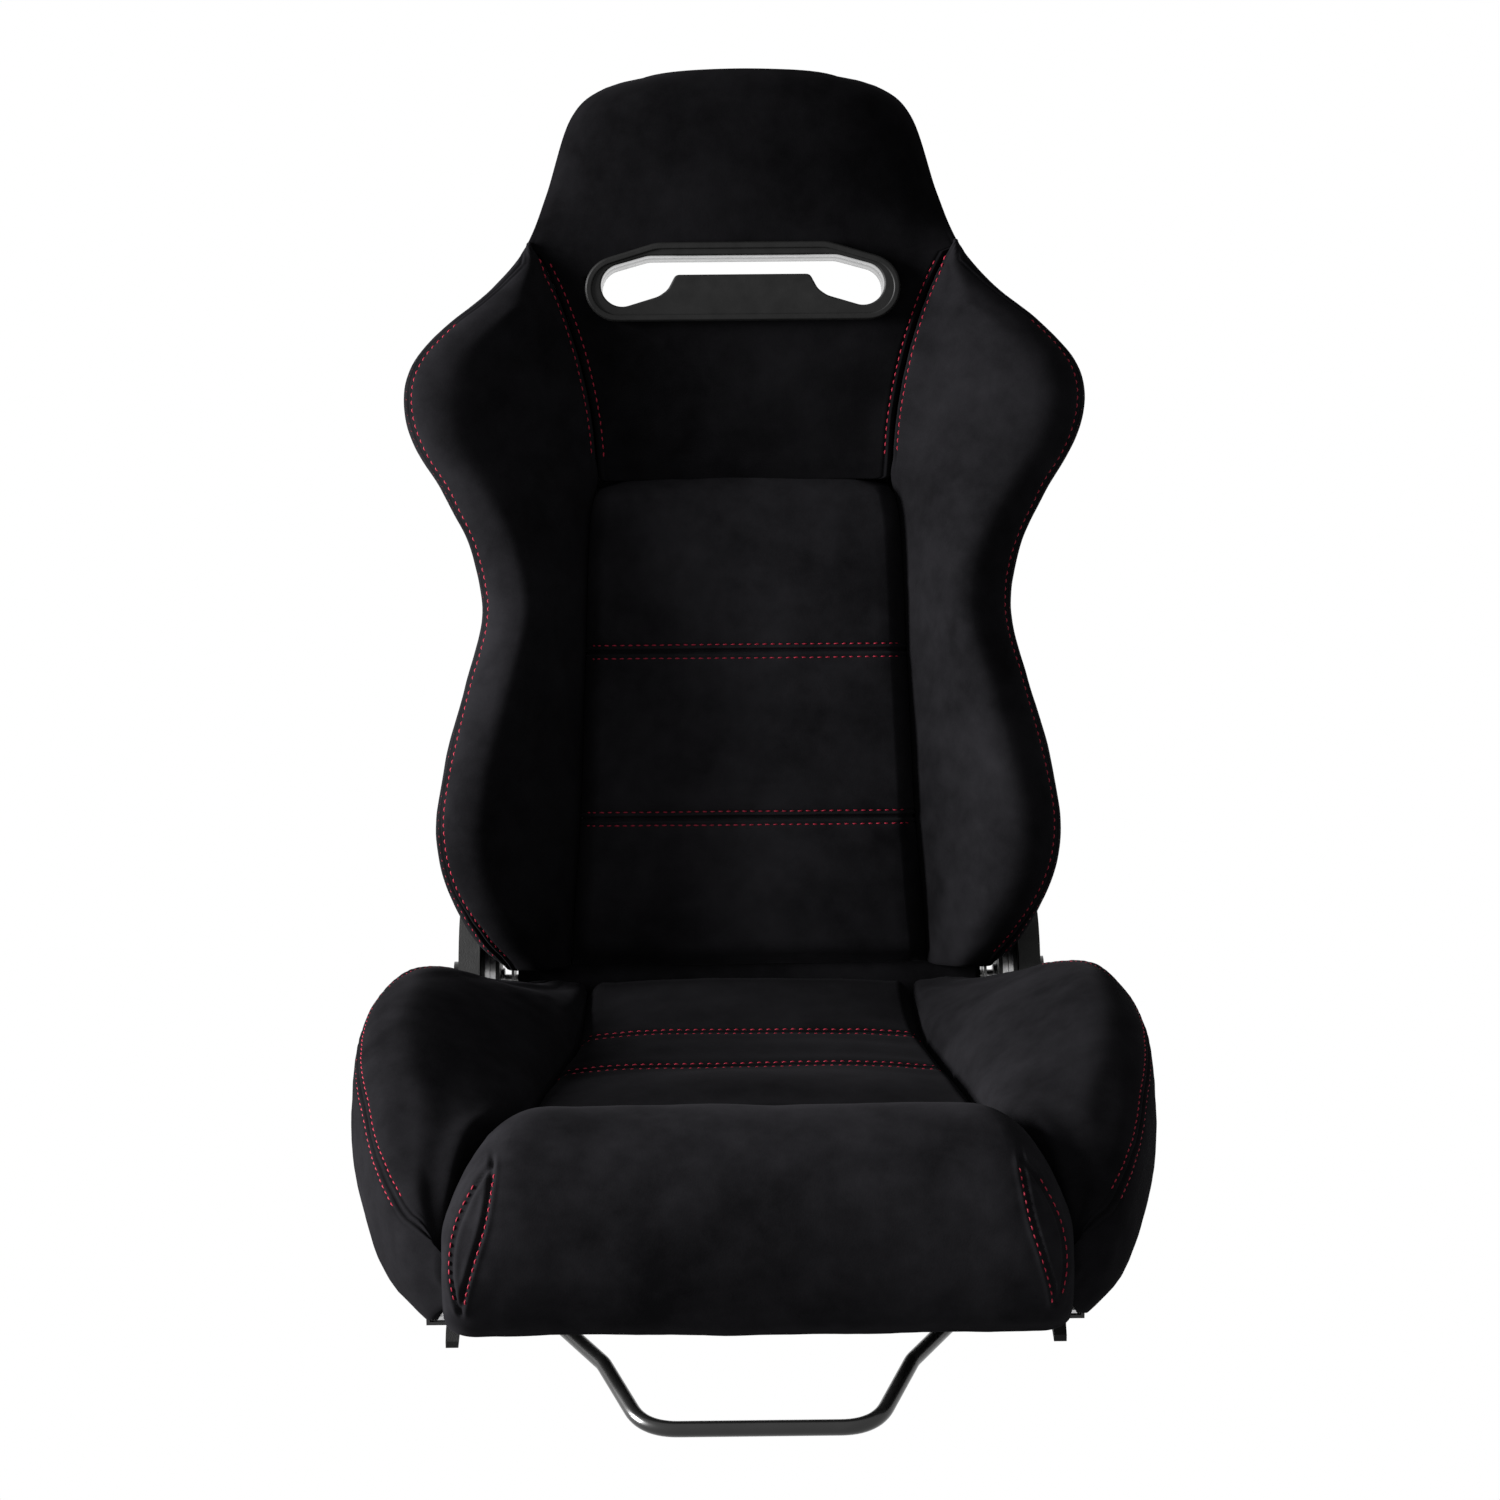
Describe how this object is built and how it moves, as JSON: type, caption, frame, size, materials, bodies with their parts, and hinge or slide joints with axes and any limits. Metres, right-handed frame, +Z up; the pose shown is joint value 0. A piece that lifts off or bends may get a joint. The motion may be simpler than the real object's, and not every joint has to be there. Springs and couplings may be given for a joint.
{
  "type": "reclining sports seat",
  "caption": "Reclining sports bucket seat in suede cloth with side bolsters, a harness slot, slide rails and a lift-up release bar.",
  "frame": {"origin": "middle of the four floor bolt holes, on the underside of the lower rails", "axes": "+Z up, -Y is the front that the occupant faces, X across the seat"},
  "size_m": [0.5756, 0.7518, 0.8044],
  "materials": {
    "microsuede": "black suede cloth, soft nap",
    "stitching": "red twin-needle thread",
    "bezel_plastic": "satin black moulded plastic",
    "cover_plastic": "grained dark grey moulded plastic",
    "soft_plastic": "matt black soft plastic",
    "gloss_paint": "gloss black powder coat",
    "frame_paint": "satin black electrocoat",
    "zinc_steel": "bright zinc plate",
    "spring_steel": "oiled spring wire",
    "nylon": "natural nylon"
  },
  "bodies": {
    "floor_rails": {"lower_rail_left": "frame_paint", "lower_rail_right": "frame_paint", "rail_stop_left": "soft_plastic", "rail_stop_right": "soft_plastic"},
    "seat_base": {"upper_rail_left": "zinc_steel", "upper_rail_right": "zinc_steel", "rail_rollers": "nylon", "rail_bolts": "zinc_steel", "side_plate_left": "frame_paint", "side_plate_right": "frame_paint", "front_cross_tube": "frame_paint", "rear_cross_tube": "frame_paint", "seat_pan": "frame_paint", "seat_springs": "spring_steel", "latch_pivot_left": "zinc_steel", "latch_pivot_right": "zinc_steel", "seat_insert": "microsuede", "seat_bolster_left": "microsuede", "seat_bolster_right": "microsuede", "thigh_roll": "microsuede", "recliner_disc_fixed_left": "zinc_steel", "recliner_disc_fixed_right": "zinc_steel", "recliner_cover_left": "cover_plastic", "recliner_cover_right": "cover_plastic", "cover_screws": "zinc_steel", "recline_spring_left": "zinc_steel", "recline_spring_right": "zinc_steel", "latch_spring_left": "zinc_steel", "latch_spring_right": "zinc_steel"},
    "backrest": {"back_bracket_left": "frame_paint", "back_bracket_right": "frame_paint", "recliner_disc_moving_left": "zinc_steel", "recliner_disc_moving_right": "zinc_steel", "bracket_bolts": "zinc_steel", "back_frame_hoop": "frame_paint", "head_hoop": "frame_paint", "back_springs": "spring_steel", "back_shell": "cover_plastic", "head_pad": "microsuede", "back_bolster_left": "microsuede", "back_bolster_right": "microsuede", "back_insert": "microsuede", "back_apron": "microsuede", "slot_bezel_front": "bezel_plastic", "slot_bezel_rear": "bezel_plastic", "bezel_screws": "zinc_steel"},
    "recline_lever": {"sync_rod": "zinc_steel", "recline_lever_left": "gloss_paint", "recline_lever_right": "gloss_paint", "lever_grip_left": "soft_plastic", "lever_grip_right": "soft_plastic"},
    "slide_release": {"towel_bar": "gloss_paint", "latch_lever_left": "zinc_steel", "latch_lever_right": "zinc_steel"}
  },
  "joints": [
    {"name": "seat_slide", "type": "slide", "parent": "floor_rails", "child": "seat_base", "axis": [0, -1, 0], "range_m": [-0.09, 0.09]},
    {"name": "recline", "type": "hinge", "parent": "seat_base", "child": "backrest", "pos_m": [0, 0.145, 0.137], "axis": [-1, 0, 0], "range_deg": [-6, 55], "deforming": ["recline_spring_left", "recline_spring_right"]},
    {"name": "recline_lever_lift", "type": "hinge", "parent": "seat_base", "child": "recline_lever", "pos_m": [0, 0.145, 0.137], "axis": [-1, 0, 0], "range_deg": [0, 20], "stiffness_Nm_per_rad": 1.2, "springref_deg": -17.19},
    {"name": "release_bar_lift", "type": "hinge", "parent": "seat_base", "child": "slide_release", "pos_m": [0, 0.01, 0.02], "axis": [-1, 0, 0], "range_deg": [0, 5], "stiffness_Nm_per_rad": 12, "springref_deg": -5.73, "deforming": ["latch_spring_left", "latch_spring_right"]}
  ]
}
